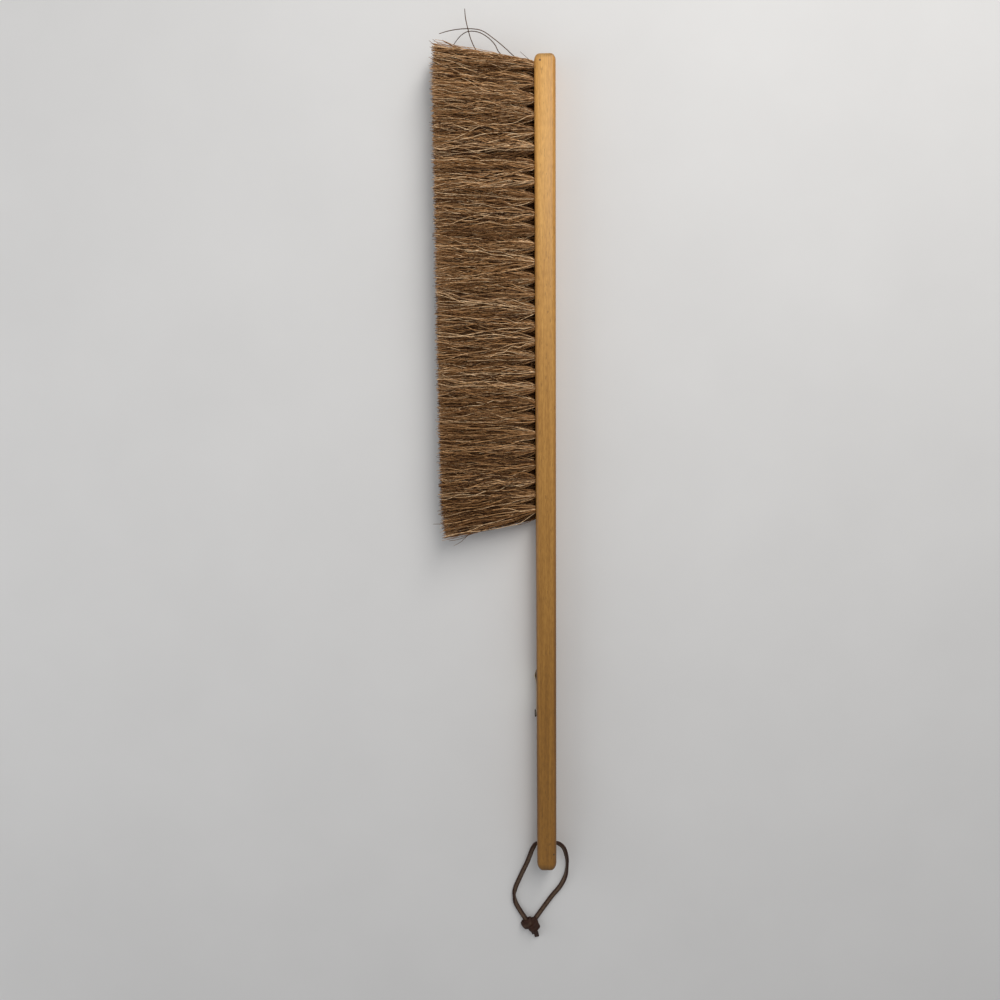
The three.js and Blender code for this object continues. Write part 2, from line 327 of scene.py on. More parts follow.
def make_floor():
    signs = ((-1, -1), (1, -1), (1, 1), (-1, 1))
    corners = [(x * FLOOR_HALF_SIDE, y * FLOOR_HALF_SIDE, -FLOOR_DROP) for x, y in signs]
    mesh = bpy.data.meshes.new("floor")
    mesh.from_pydata(corners, [], [(0, 1, 2, 3)])
    mesh.materials.append(floor_material())
    floor = bpy.data.objects.new("floor", mesh)
    bpy.context.scene.collection.objects.link(floor)


def make_lamp(name, place, aim, size, power, colour):
    """A rectangular lamp, with its size across and along the bar."""
    lamp = bpy.data.lights.new(name, "AREA")
    lamp.shape = "RECTANGLE"
    lamp.size, lamp.size_y = size
    lamp.energy = power
    lamp.color = colour
    holder = bpy.data.objects.new(name, lamp)
    holder.location = place
    holder.rotation_euler = (Vector(aim) - Vector(place)).to_track_quat("-Z", "Y").to_euler()
    bpy.context.scene.collection.objects.link(holder)


def make_light():
    make_lamp(
        "key", place=(0.32, 0.80, 0.95), aim=(-0.02, 0.05, 0), size=(0.35, 1.2), power=11.0,
        colour=(1.0, 0.98, 0.95))
    make_lamp(
        "fill", place=(-1.05, -0.05, 0.45), aim=(0.0, 0.05, 0), size=(0.8, 1.4), power=3.4,
        colour=(0.98, 0.99, 1.0))
    world = bpy.data.worlds.new("studio")
    world.use_nodes = True
    tree = world.node_tree
    sky = tree.nodes["Background"]
    sky.inputs["Color"].default_value = SKY_COLOUR
    sky.inputs["Strength"].default_value = SKY_STRENGTH
    backdrop = add_node(tree, "ShaderNodeBackground", {"Color": BACKDROP}).outputs["Background"]
    both = add_node(tree, "ShaderNodeMixShader", {0: seen(tree), 1: sky.outputs["Background"], 2: backdrop})
    tree.links.new(both.outputs["Shader"], tree.nodes["World Output"].inputs["Surface"])
    bpy.context.scene.world = world


# Materials

# Places along the bar where the wood begins to darken towards the handle and where it is fully darkened, and
# how far these shift from place to place. The darkening is painted shade of the light falling off along the
# bar, partly wear from handling.
HANDLE_SHADE_AND_WEAR = (0.30, -0.19)
HANDLE_SHADE_AND_WEAR_UNEVEN = 0.05

# Distances from the bar's middle plane, and from its middle height, between which the rounded edges and
# sides darken: painted shade where they turn from the light, partly dirt
EDGE_SHADE_AND_DIRT_OFF_MIDDLE = (5.8 * MM, 8.3 * MM)
EDGE_SHADE_AND_DIRT_OFF_HEIGHT = (8.5 * MM, 12.3 * MM)

# Distances from the bar's ends between which the wood darkens: end grain, and painted shade on the rounded
# ends
END_GRAIN_AND_SHADE = {"tufts": (4.5 * MM, 0.8 * MM), "handle": (7 * MM, 2.5 * MM)}

# Small dark knots in the bar's upper edge, and the distances from a knot's middle between which it darkens
PIN_KNOTS = [(-0.0039, 0.3372, 0.0286), (0.0063, -0.3268, 0.0286)]
PIN_KNOT_REACH = (1.1 * MM, 0.5 * MM)


def wood_colour(tree, grain, along):
    """The wood's colour, lighter by the tufts and darker towards the handle, and how far it is darkened at
    each
    place: painted shade of the light falling off along the bar, partly handling wear.
    """
    clean = ramp(tree, grain, [
        (0.30, (0.42, 0.192, 0.042)),
        (0.50, (0.58, 0.296, 0.070)),
        (0.72, (0.72, 0.398, 0.110)),
    ])
    # Wood in painted shade towards the handle, partly worn dark by handling
    shaded_and_worn = ramp(tree, grain, [
        (0.30, (0.158, 0.067, 0.010)),
        (0.50, (0.240, 0.109, 0.018)),
        (0.72, (0.322, 0.156, 0.027)),
    ])
    blotches = texture(tree, "wood_blotches")
    shift = spread(tree, blotches, 0, 1, -HANDLE_SHADE_AND_WEAR_UNEVEN, HANDLE_SHADE_AND_WEAR_UNEVEN)
    # How far the painted shade of the light falling off towards the handle, with handling wear, darkens the
    # wood
    shade_and_wear_share = spread(tree, calculate(tree, "ADD", along, shift), *HANDLE_SHADE_AND_WEAR)
    colour = mix(tree, shade_and_wear_share, clean, shaded_and_worn)
    mottle = texture(tree, "wood_mottle")
    streaks = ramp(tree, mottle, [(0.35, (0.895, 0.88, 0.85)), (0.65, (1.085, 1.095, 1.115))])
    return mix(tree, 1.0, colour, streaks, "MULTIPLY"), shade_and_wear_share


def wood_edge_shade_and_dirt(tree, colour, shade_and_wear_share, across, height):
    """Darker along the rounded edges and the sides of the bar, more so towards the handle: painted shade
    where they turn from the light, partly dirt and handling wear.
    """
    # Painted shade on the rounded edges and sides, partly dirt
    edge_shade_and_dirt = mix(tree, shade_and_wear_share, (0.88, 0.84, 0.84), (0.62, 0.55, 0.55))
    edges = mix(tree, 1.0, colour, edge_shade_and_dirt, "MULTIPLY")
    near_side = spread(tree, calculate(tree, "ABSOLUTE", across), *EDGE_SHADE_AND_DIRT_OFF_MIDDLE)
    off_height = calculate(tree, "ABSOLUTE", calculate(tree, "SUBTRACT", height, BAR_MIDDLE_Z))
    near_edge = spread(tree, off_height, *EDGE_SHADE_AND_DIRT_OFF_HEIGHT, 0.35, 1)
    return mix(tree, calculate(tree, "MULTIPLY", near_side, near_edge), colour, edges)


def wood_end_grain_and_shade(tree, colour, along):
    """Darker end grain at both ends of the bar, with painted shade where the rounded ends turn from the
    light.
    """
    # End grain colour with painted shade of the rounded ends
    end_grain_and_shade = mix(tree, 1.0, colour, (0.60, 0.63, 0.78), "MULTIPLY")
    at_tuft_end = spread(tree, along, *[bar_high.y - distance for distance in END_GRAIN_AND_SHADE["tufts"]])
    at_handle_end = spread(tree, along, *[bar_low.y + distance for distance in END_GRAIN_AND_SHADE["handle"]])
    return mix(tree, calculate(tree, "ADD", at_tuft_end, at_handle_end), colour, end_grain_and_shade)


def wood_marks(tree, colour, place, flecks):
    """Short dark flecks along the grain, and the small dark knots."""
    colour = mix(tree, spread(tree, flecks, 0, 1, 0, 0.42), colour, (0.10, 0.045, 0.012))
    for knot in PIN_KNOTS:
        gap = add_node(tree, "ShaderNodeVectorMath", {0: place, 1: knot}, operation="DISTANCE")
        inside = spread(tree, gap.outputs["Value"], *PIN_KNOT_REACH, 0, 0.85)
        colour = mix(tree, inside, colour, (0.035, 0.018, 0.008))
    return colour


def wood_material():
    """Honey-coloured hardwood with straight grain and short dark flecks, lacquered, and darker towards the
    handle,
    along its edges and at its ends: painted shade, partly handling wear, dirt and end grain.
    """
    material, tree, shader = new_material("lacquered_wood")
    place = add_node(tree, "ShaderNodeTexCoord").outputs["Object"]
    apart = add_node(tree, "ShaderNodeSeparateXYZ", {"Vector": place}).outputs
    bands = texture(tree, "wood_bands")
    fibres = texture(tree, "wood_fibres")
    flecks = spread(tree, texture(tree, "wood_flecks"), 0.655, 0.70)
    colour, shade_and_wear_share = wood_colour(tree, mix(tree, 0.35, bands, fibres), apart["Y"])
    colour = wood_edge_shade_and_dirt(tree, colour, shade_and_wear_share, apart["X"], apart["Z"])
    colour = wood_end_grain_and_shade(tree, colour, apart["Y"])
    colour = wood_marks(tree, colour, place, flecks)
    tree.links.new(colour, shader.inputs["Base Color"])
    tree.links.new(spread(tree, fibres, 0.3, 0.7, 0.34, 0.48), shader.inputs["Roughness"])
    height = mix(tree, spread(tree, flecks, 0, 1, 0, 0.6), fibres, (0.0, 0.0, 0.0))
    add_bump(tree, shader, height, strength=0.12, depth=0.2 * MM)
    set_inputs(shader, {"Specular IOR Level": 0.25, "Coat Weight": 0.15, "Coat Roughness": 0.25})
    return material


def hair_material():
    """Brown horsehair: each hair has its own shade, and along it a tone that is partly its own and partly
    painted sheen and shade, with short painted glints.
    """
    material, tree, shader = new_material("horsehair")
    shade = add_node(tree, "ShaderNodeAttribute", attribute_name="shade").outputs["Fac"]
    colour = ramp(tree, shade, [
        (0.00, (0.050, 0.017, 0.004)),
        (0.25, (0.170, 0.075, 0.022)),
        (0.55, (0.395, 0.204, 0.080)),
        (0.80, (0.610, 0.362, 0.170)),
        (1.00, (0.830, 0.590, 0.350)),
    ])
    # Lighter and darker lock-to-lock tone along the hair: partly its own colour, partly painted sheen and
    # shade of hairs that dive under one another
    locks_and_sheen = texture(tree, "hair_locks_and_sheen")
    tone = ramp(tree, locks_and_sheen, [(0.32, (0.54, 0.47, 0.40)), (0.68, (1.36, 1.38, 1.42))])
    colour = mix(tree, 1.0, colour, tone, "MULTIPLY")
    # Short painted glints along the hairs
    glint_noise = texture(tree, "hair_painted_glints")
    painted_glint = ramp(tree, glint_noise, [(0.35, (0.80, 0.77, 0.74)), (0.65, (1.20, 1.22, 1.25))])
    colour = mix(tree, 1.0, colour, painted_glint, "MULTIPLY")
    tree.links.new(colour, shader.inputs["Base Color"])
    set_inputs(shader, {
        "Roughness": 0.42, "Specular IOR Level": 0.45, "Specular Tint": (0.80, 0.62, 0.46, 1.0)})
    return material


def leather_material():
    """Dark brown lace, lighter down the middle of its flat faces: painted sheen, partly worn by rubbing."""
    material, tree, shader = new_material("leather")
    across = add_node(tree, "ShaderNodeAttribute", attribute_name="across").outputs["Fac"]
    sheen_and_wear = texture(tree, "leather_wear")
    # Painted sheen down the middle of the flat faces, partly wear
    middle = spread(tree, across, 0.80, 0.15)
    sheen_and_wear_mask = calculate(tree, "MULTIPLY", middle, spread(tree, sheen_and_wear, 0.25, 0.6, 0.45, 1))
    pores = texture(tree, "leather_pores")
    dark = ramp(tree, sheen_and_wear, [(0.3, (0.018, 0.006, 0.003)), (0.7, (0.042, 0.015, 0.008))])
    light = ramp(tree, pores, [(0.3, (0.078, 0.050, 0.032)), (0.7, (0.132, 0.089, 0.060))])
    tree.links.new(mix(tree, sheen_and_wear_mask, dark, light), shader.inputs["Base Color"])
    tree.links.new(spread(tree, pores, 0.3, 0.7, 0.45, 0.68), shader.inputs["Roughness"])
    add_bump(tree, shader, pores, strength=0.35, depth=0.2 * MM)
    set_inputs(shader, {"Specular IOR Level": 0.18})
    return material


def paper_material():
    """Old blank paper, yellowed, and dark at its rolled lower end: dirt, and painted shade inside the roll.
    """
    material, tree, shader = new_material("paper")
    place = add_node(tree, "ShaderNodeTexCoord").outputs["Object"]
    along = add_node(tree, "ShaderNodeSeparateXYZ", {"Vector": place}).outputs["Y"]
    stains = texture(tree, "paper_stains")
    colour = ramp(tree, stains, [
        (0.30, (0.52, 0.45, 0.31)),
        (0.55, (0.68, 0.61, 0.46)),
        (0.70, (0.76, 0.70, 0.56)),
    ])
    # Dirt and painted shade at the rolled lower end
    dirt_and_shade = spread(tree, along, *[LABEL_BOTTOM + distance for distance in LABEL_DIRT_AND_SHADE])
    colour = mix(tree, dirt_and_shade, colour, (0.045, 0.032, 0.023))
    tree.links.new(colour, shader.inputs["Base Color"])
    add_bump(tree, shader, texture(tree, "paper_fibres"), strength=0.25, depth=0.1 * MM)
    set_inputs(shader, {"Roughness": 0.85})
    return material


# Bar

# Steps of the bar's round edges and corners, sides of its holes, how far the drill stands out of the bar, and
# the angle in degrees above which an edge looks sharp
EDGE_STEPS = 8
CORNER_STEPS = 10
TUFT_HOLE_SIDES = 20
LACE_HOLE_SIDES = 40
DRILL_PAST = 2 * MM
BAR_SHARP_ANGLE = 35


def cylinder_along_x(form, centre, radius, length, sides):
    """Adds a closed cylinder, lying along X, to a bmesh."""
    made = bmesh.ops.create_cone(
        form, cap_ends=True, segments=sides, radius1=radius, radius2=radius, depth=length)
    for vertex in made["verts"]:
        x, y, z = vertex.co
        vertex.co = Vector((z, y, x)) + Vector(centre)


def turned_along_x(form, centre, profile, sides):
    """Adds a closed turned solid, with (x, radius) points for its profile, to a bmesh."""
    rings = []
    for x, radius in profile:
        angles = [2 * math.pi * side / sides for side in range(sides)]
        places = [Vector((x, radius * math.cos(angle), radius * math.sin(angle))) for angle in angles]
        rings.append([form.verts.new(place + centre) for place in places])
    for ring, after in zip(rings, rings[1:]):
        for side in range(sides):
            other = (side + 1) % sides
            form.faces.new((ring[side], ring[other], after[other], after[side]))
    form.faces.new(list(reversed(rings[0])))
    form.faces.new(rings[-1])


def rows():
    """Each row's name, the height of its tufts and their places along the bar."""
    for number, name in enumerate(ROW_LEANS):
        offset = TUFT_PITCH / 2 if name == "middle" else 0
        height = BAR_MIDDLE_Z + (number - 1) * ROW_SPACING
        yield name, height, [FIRST_TUFT_Y - offset - tuft * TUFT_PITCH for tuft in range(TUFTS_PER_ROW)]


def bar_outline(inset, height):
    """The bar seen from above, drawn in from its sides by an inset, at one height."""
    corners = [(1, 1), (-1, 1), (-1, -1), (1, -1)]
    outline = []
    for corner, (x, y) in enumerate(corners):
        across, along = TUFT_END_CORNER if y > 0 else HANDLE_END_CORNER
        for step in range(CORNER_STEPS + 1):
            angle = math.pi / 2 * (corner + step / CORNER_STEPS)
            outline.append((
                x * (bar_high.x - across) + (across - inset) * math.cos(angle),
                y * (bar_high.y - along) + (along - inset) * math.sin(angle),
                height))
    return outline


def bar_blank():
    """The bar before drilling: its long edges and the edges of its ends are rounded over."""
    angles = [math.pi / 2 * step / EDGE_STEPS for step in range(EDGE_STEPS + 1)]
    insets = [EDGE_RADIUS * (1 - math.sin(angle)) for angle in angles]
    rises = [EDGE_RADIUS * (1 - math.cos(angle)) for angle in angles]
    rings = [bar_outline(inset, bar_low.z + rise) for inset, rise in zip(insets, rises)]
    rings += [bar_outline(inset, bar_high.z - rise) for inset, rise in zip(reversed(insets), reversed(rises))]
    sides = len(rings[0])
    faces = [tuple(reversed(range(sides)))]
    for ring in range(len(rings) - 1):
        for side in range(sides):
            here = ring * sides + side
            beside = ring * sides + (side + 1) % sides
            faces.append((here, beside, beside + sides, here + sides))
    faces.append(tuple(range((len(rings) - 1) * sides, len(rings) * sides)))
    mesh = bpy.data.meshes.new("wooden_bar")
    mesh.from_pydata([place for ring in rings for place in ring], [], faces)
    return mesh


def bar_drill():
    """All the holes of the bar as one cutter, which stands out past the bar's faces: a blind hole for each
    tuft, and the lace hole with eased mouths."""
    form = bmesh.new()
    for _, height, places in rows():
        for y in places:
            centre = (TUFT_FACE_X + (TUFT_HOLE_DEPTH - DRILL_PAST) / 2, y, height)
            cylinder_along_x(form, centre, TUFT_HOLE_RADIUS, TUFT_HOLE_DEPTH + DRILL_PAST, TUFT_HOLE_SIDES)
    mouth = LACE_HOLE_RADIUS + LACE_HOLE_EASE
    bend = LACE_HOLE_EASE / 3
    turned_along_x(form, LACE_HOLE, [
        (TUFT_FACE_X - DRILL_PAST, mouth),
        (TUFT_FACE_X, mouth),
        (TUFT_FACE_X + bend, LACE_HOLE_RADIUS + bend),
        (TUFT_FACE_X + LACE_HOLE_EASE, LACE_HOLE_RADIUS),
        (BACK_FACE_X - LACE_HOLE_EASE, LACE_HOLE_RADIUS),
        (BACK_FACE_X - bend, LACE_HOLE_RADIUS + bend),
        (BACK_FACE_X, mouth),
        (BACK_FACE_X + DRILL_PAST, mouth),
    ], LACE_HOLE_SIDES)
    bmesh.ops.recalc_face_normals(form, faces=form.faces)
    mesh = bpy.data.meshes.new("drill")
    form.to_mesh(mesh)
    form.free()
    return mesh


def make_bar(material):
    bar = bpy.data.objects.new("wooden_bar", bar_blank())
    drill = bpy.data.objects.new("drill", bar_drill())
    for made in (bar, drill):
        bpy.context.scene.collection.objects.link(made)
    cut = bar.modifiers.new("holes", "BOOLEAN")
    cut.object = drill
    cut.solver = "EXACT"
    drilled = bpy.data.meshes.new_from_object(bar.evaluated_get(bpy.context.evaluated_depsgraph_get()))
    bar.modifiers.clear()
    bar.data = drilled
    bpy.data.objects.remove(drill)
    drilled.shade_smooth()
    drilled.set_sharp_from_angle(angle=math.radians(BAR_SHARP_ANGLE))
    drilled.materials.clear()
    drilled.materials.append(material)
    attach(bar, "brush")
    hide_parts("handle_bar")


# Label

# Its paper, its gap to the bar, its mesh's steps and the angle in degrees above which an edge looks sharp
LABEL_THICKNESS = 0.4 * MM
LABEL_GAP = 0.05 * MM
LABEL_STEPS = {"along": 120, "up": 8}
LABEL_SHARP_ANGLE = 50

# Its upper end: the length that has come unstuck, how fast its lift grows and the most lift
LABEL_CURL = 8.4 * MM
LABEL_CURL_POWER = 1.7
LABEL_LIFT = 1.6 * MM

# Its lower end: the radius of its roll, how far it has rolled up, and the label's length up to the roll and
# in all
LABEL_ROLL_RADIUS = 0.8 * MM
LABEL_ROLL_TURN = 1.45 * math.pi
LABEL_FLAT_PART = LABEL_TOP - LABEL_BOTTOM - LABEL_ROLL_RADIUS
LABEL_LENGTH = LABEL_FLAT_PART + LABEL_ROLL_RADIUS * LABEL_ROLL_TURN

# Its ragged long edges: how far they stray, the two waves they stray in, the slant of one of them across the
# label, and how fast they die out away from the edges
RAGGED_SIZE = 0.09 * MM
RAGGED_WAVES = (31, 67)
RAGGED_SKEW = 4
RAGGED_POWER = 6


def label_place(down, up):
    """How far the label is off the bar, and where along it, at a distance from the label's top end and at a
    height from -1 at its lower edge to 1 at its upper one."""
    if down <= LABEL_FLAT_PART:
        curl = max(0.0, 1 - down / LABEL_CURL) ** LABEL_CURL_POWER
        return LABEL_LIFT * curl * (1 + up) / 2, LABEL_TOP - down
    turn = (down - LABEL_FLAT_PART) / LABEL_ROLL_RADIUS
    return LABEL_ROLL_RADIUS * (1 - math.cos(turn)), LABEL_BOTTOM + LABEL_ROLL_RADIUS * (1 - math.sin(turn))


def ragged(along, up):
    """How far a place on the label is shifted up or down, so that its long edges are uneven."""
    long_wave, short_wave = RAGGED_WAVES
    waves = math.sin(long_wave * along + RAGGED_SKEW * up) + math.sin(short_wave * along)
    return RAGGED_SIZE * waves * abs(up) ** RAGGED_POWER


def make_label(material):
    """A blank paper label on the tuft side of the handle. A corner of its upper end has come unstuck, and its
    lower end has rolled up."""
    form = bmesh.new()
    bmesh.ops.create_grid(form, x_segments=LABEL_STEPS["along"], y_segments=LABEL_STEPS["up"], size=1)
    for vertex in form.verts:
        along, up, _ = vertex.co
        lift, y = label_place((1 - along) / 2 * LABEL_LENGTH, up)
        z = BAR_MIDDLE_Z + up * LABEL_WIDTH / 2 + ragged(along, up)
        vertex.co = (TUFT_FACE_X - LABEL_GAP - lift, y, z)
    bmesh.ops.recalc_face_normals(form, faces=form.faces)
    bmesh.ops.solidify(form, geom=form.faces[:], thickness=LABEL_THICKNESS)
    mesh = bpy.data.meshes.new("blank_label")
    form.to_mesh(mesh)
    form.free()
    mesh.shade_smooth()
    mesh.set_sharp_from_angle(angle=math.radians(LABEL_SHARP_ANGLE))
    mesh.materials.append(material)
    label = bpy.data.objects.new("blank_label", mesh)
    bpy.context.scene.collection.objects.link(label)
    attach(label, "brush")


# Hair

# Number of hairs, their radius and how unequal it is, the sides of a hair, and its narrowing: shares of its
# length, and its width there
HAIRS_PER_TUFT = 150
HAIR_RADIUS = 0.24 * MM
UNEVEN_SHARE = 0.25
HAIR_SIDES = 3
HAIR_WIDTH_STEPS = (0, 0.8, 1)
HAIR_WIDTHS = (1, 0.95, 0.7)

# Shares of a hair's length at which its centreline has points, closer together by the bar
HAIR_STEPS = np.array([0, 0.05, 0.07, 0.10, 0.13, 0.17, 0.21, *np.linspace(0.25, 1, 19)])

# Height of a hair's middle above the table at the least, in its radii, and number of pieces to a row
TABLE_CLEARANCE_RADII = 2.5
PIECES_PER_ROW = 4

# Roots in a hole: how deep they go, how much of its radius they fill, how far they scatter, and what share of
# the radius none of them passes. The golden angle from one to the next spreads them evenly.
ROOT_DEPTH = 4 * MM
ROOT_FILL = 0.86
ROOT_SCATTER = 0.12 * MM
ROOT_LIMIT = 0.94
GOLDEN_ANGLE = math.pi * (3 - math.sqrt(5))

# How a tuft opens: its width at the tips when its roots are 1 wide, the part of this that bulges out right at
# the bar, the shares of a hair's length in which the bulge and the fan open, and how much of the fan opens
# there
FAN = 2.4
ROOT_BULGE = 0.2
BULGE_OUT = 0.01
FAN_OUT = 0.10
FAN_NEAR_BAR = 0.8

# Ends of the rows: how far the last tufts lean, how far the brush's ends slant out to the tips, how far
# single hairs stand out of these ends or stay inside, and how much of what strays past them is turned back
HAIR_END_FLARE = 9.5 * MM
END_SLANT = {"tufts": 11.8 * MM, "handle": 15 * MM}
END_ESCAPE = 1.0 * MM
END_INSET = 3.0 * MM
END_RETURN = 1.15

# Hairs of uneven length, short hairs that broke off, and loose ones that cross the rest: shares and sizes
LENGTH_SPREAD = 0.015
SHORT_SHARE = 0.09
SHORT_LENGTHS = (0.5, 0.96)
LOOSE_SHARE = 0.04
LOOSE_ALONG = 8 * MM
LOOSE_UP = 1.5 * MM
LOOSE_POWER = 1.6

# Length of the hair at places along the rows, from -1 by the handle to 1 at the bar's end, and what is added
# to its shade there: painted light falloff, lighter at the bar's end and darker towards the handle. The last
# tufts by the handle are the shortest and the darkest.
ROW_PLACES = (-1.036, -1, -0.93, 0.1, 0.93, 1)
HAIR_LENGTHS = (76.4 * MM, 77.3 * MM, 79.0 * MM, 79.4 * MM, 79.8 * MM, 78.6 * MM)
PAINTED_FALLOFF_SHADES = (-0.17, -0.06, -0.085, -0.015, 0.14, 0.15)

# Where the tips of the last two tufts by the handle part, the hair darkens with painted shade: its place
# along the bar, its size, the shares of a hair's length between which it starts, and what it adds to the
# shade
HOLLOW_PLACE = -19 * MM
HOLLOW_SIZE = 7.5 * MM
HOLLOW_STEPS = (0.3, 0.55)
HOLLOW_PAINTED_SHADE = -0.28

# Mean shade of the hairs at their roots, a fifth of the way out, near their tips and at them. The outer rows
# are lighter at their roots, partly their own colour and partly painted highlight where the tufts bulge out
# of the bar. The middle row is the darkest up to near its tips: painted shade between the rows.
TONE_STEPS = (0, 0.2, 0.8, 1)
OUTER_TONES = (0.56, 0.47, 0.44, 0.49)
SHADED_INNER_TONES = (0.10, 0.15, 0.26, 0.49)
TONE_SPREAD = 0.42

# How far a hair slants from its root to its tip, along the bar and upwards, and its waves: size and number.
# The number differs from hair to hair, and the waves grow from nothing over the first part of a hair.
SLANT_ALONG = 8.8 * MM
SLANT_UP = 1.8 * MM
WAVES_ALONG = [(1.3 * MM, 1.3), (0.65 * MM, 2.8)]
WAVES_UP = [(1.0 * MM, 1.6), (1.0 * MM, 3.8)]
WAVE_NUMBER_SPREAD = (0.6, 1.4)
WAVE_GROWTH = 0.25


def along_rows(y):
    """How far along the rows a place is: -1 at the handle's end of them, 1 at the other."""
    return (y - (FIRST_TUFT_Y - ROW_LENGTH / 2)) / (ROW_LENGTH / 2)


def end_flare(y):
    """How far the tips of a tuft lean along the bar: not at all in mid-row, and most at both ends."""
    share = along_rows(y)
    return HAIR_END_FLARE * np.sign(share) * abs(share) ** FLARE_POWER


def sideways(share, slant, waves):
    """How far hairs stray to one side along their length: each slants and waves in its own way."""
    count = len(share)
    stray = random.normal(0, slant, (count, 1)) * share
    for size, number in waves:
        sizes = random.normal(0, size, (count, 1))
        turns = random.uniform(*WAVE_NUMBER_SPREAD, (count, 1)) * number
        start = random.uniform(0, 2 * math.pi, (count, 1))
        stray += sizes * np.sin(2 * math.pi * turns * share + start) * np.minimum(1, share / WAVE_GROWTH)
    return stray


def held_in(places):
    """Hairs that stray past the slanting ends of the brush turn along them. Some stand out a little."""
    share = np.clip((TUFT_FACE_X - places[:, :, 0]) / TRIM, 0, 1)
    each = (len(places), 1)
    escape = random.exponential(END_ESCAPE, each) - random.uniform(0, END_INSET, each)
    top = FIRST_TUFT_Y + TUFT_HOLE_RADIUS
    bottom = FIRST_TUFT_Y - ROW_LENGTH - TUFT_PITCH / 2 - TUFT_HOLE_RADIUS
    y = places[:, :, 1]
    y -= END_RETURN * np.maximum(0, y - top - (END_SLANT["tufts"] + escape) * share)
    y += END_RETURN * np.maximum(0, bottom - (END_SLANT["handle"] + escape) * share - y)


def tuft_roots(count):
    """Places of a tuft's hairs in its hole, spread evenly over it, as (along, up) from its middle."""
    number = np.arange(count) + 0.5
    angle = number * GOLDEN_ANGLE + random.uniform(0, 2 * math.pi)
    reach = ROOT_FILL * TUFT_HOLE_RADIUS * np.sqrt(number / count)
    roots = np.stack([np.cos(angle), np.sin(angle)], 1) * reach[:, None]
    roots += random.normal(0, ROOT_SCATTER, (count, 2))
    off_middle = np.linalg.norm(roots, axis=1, keepdims=True)
    return roots * np.minimum(1, ROOT_LIMIT * TUFT_HOLE_RADIUS / off_middle)


def hair_lengths(y, count):
    """Length of each hair of a tuft out of the bar."""
    trimmed = np.interp(along_rows(y), ROW_PLACES, HAIR_LENGTHS)
    length = trimmed * (1 + random.normal(0, LENGTH_SPREAD, (count, 1)))
    short = random.random(count) < SHORT_SHARE
    length[short] *= random.uniform(*SHORT_LENGTHS, (short.sum(), 1))
    return length


def tuft_hairs(y, z, lean, tones):
    """One tuft's hairs: centrelines, as an array of hair, step and place, and the shade of each hair at each
    step, about its tones."""
    count = HAIRS_PER_TUFT
    roots = tuft_roots(count)
    length = hair_lengths(y, count)
    out = (length + ROOT_DEPTH) * HAIR_STEPS - ROOT_DEPTH
    share = np.clip(out / length, 0, 1)
    bulge = ROOT_BULGE * (1 - np.exp(-share / BULGE_OUT))
    opening = FAN_NEAR_BAR * (1 - np.exp(-share / FAN_OUT)) + (1 - FAN_NEAR_BAR) * share
    fan = 1 + bulge + (FAN - 1 - ROOT_BULGE) * opening

    places = np.empty((count, len(HAIR_STEPS), 3))
    stray_along = sideways(share, SLANT_ALONG, WAVES_ALONG)
    stray_up = sideways(share, SLANT_UP, WAVES_UP)
    places[:, :, 0] = TUFT_FACE_X - out
    places[:, :, 1] = y + end_flare(y) * share + roots[:, :1] * fan + stray_along
    places[:, :, 2] = z + lean * share + roots[:, 1:] * fan + stray_up
    loose = random.random((count, 1)) < LOOSE_SHARE
    places[:, :, 1] += loose * random.normal(0, LOOSE_ALONG, (count, 1)) * share ** LOOSE_POWER
    places[:, :, 2] += loose * np.abs(random.normal(0, LOOSE_UP, (count, 1))) * share
    held_in(places)
    # Painted light falloff along the rows
    tone = np.interp(share, TONE_STEPS, tones) + np.interp(along_rows(y), ROW_PLACES, PAINTED_FALLOFF_SHADES)
    # Painted shade in the gap between the last two tufts
    off_hollow = (places[:, :, 1] - HOLLOW_PLACE) / HOLLOW_SIZE
    tone += HOLLOW_PAINTED_SHADE * np.exp(-off_hollow ** 2) * np.interp(share, HOLLOW_STEPS, (0, 1))
    shade = tone + random.normal(0, TONE_SPREAD, (count, 1))
    return places, np.clip(shade, 0, 1)


def hair_mesh_data(places, radii):
    """Three-sided tubes along centrelines: vertices and four-sided faces. Each hair narrows to its tip."""
    count, steps, _ = places.shape
    tangent = unit(np.gradient(places, axis=1))
    side = unit(np.cross(tangent, UP))
    other = np.cross(side, tangent)
    narrowing = np.interp(np.linspace(0, 1, steps), HAIR_WIDTH_STEPS, HAIR_WIDTHS)
    width = radii[:, None, None] * narrowing[None, :, None]
    spin = random.uniform(0, 2 * math.pi, count)[:, None, None]
    rings = [
        places + width * (np.cos(spin + turn) * side + np.sin(spin + turn) * other)
        for turn in 2 * math.pi * np.arange(HAIR_SIDES) / HAIR_SIDES]
    vertices = np.stack(rings, 2).reshape(-1, 3)
    rings_before = np.arange(count)[:, None] * steps + np.arange(steps - 1)[None, :]
    start = rings_before[:, :, None] * HAIR_SIDES
    here = start + np.arange(HAIR_SIDES)
    beside = start + (np.arange(HAIR_SIDES) + 1) % HAIR_SIDES
    faces = np.stack([here, beside, beside + HAIR_SIDES, here + HAIR_SIDES], 3).reshape(-1, 4)
    return vertices, faces


def add_hair(name, places, shade, material, radius, uneven=0.0):
    """One piece of hair, kept clear of the table, whose hairs are thinner and thicker by an uneven share."""
    radii = radius * random.uniform(1 - uneven, 1 + uneven, len(places))
    places[:, :, 2] = np.maximum(places[:, :, 2], TABLE_CLEARANCE_RADII * radii[:, None])
    vertices, faces = hair_mesh_data(places, radii)
    piece = add_piece(name, vertices, faces, material, "brush")
    add_values(piece, "shade", np.repeat(shade, HAIR_SIDES, axis=1).ravel())
    return piece


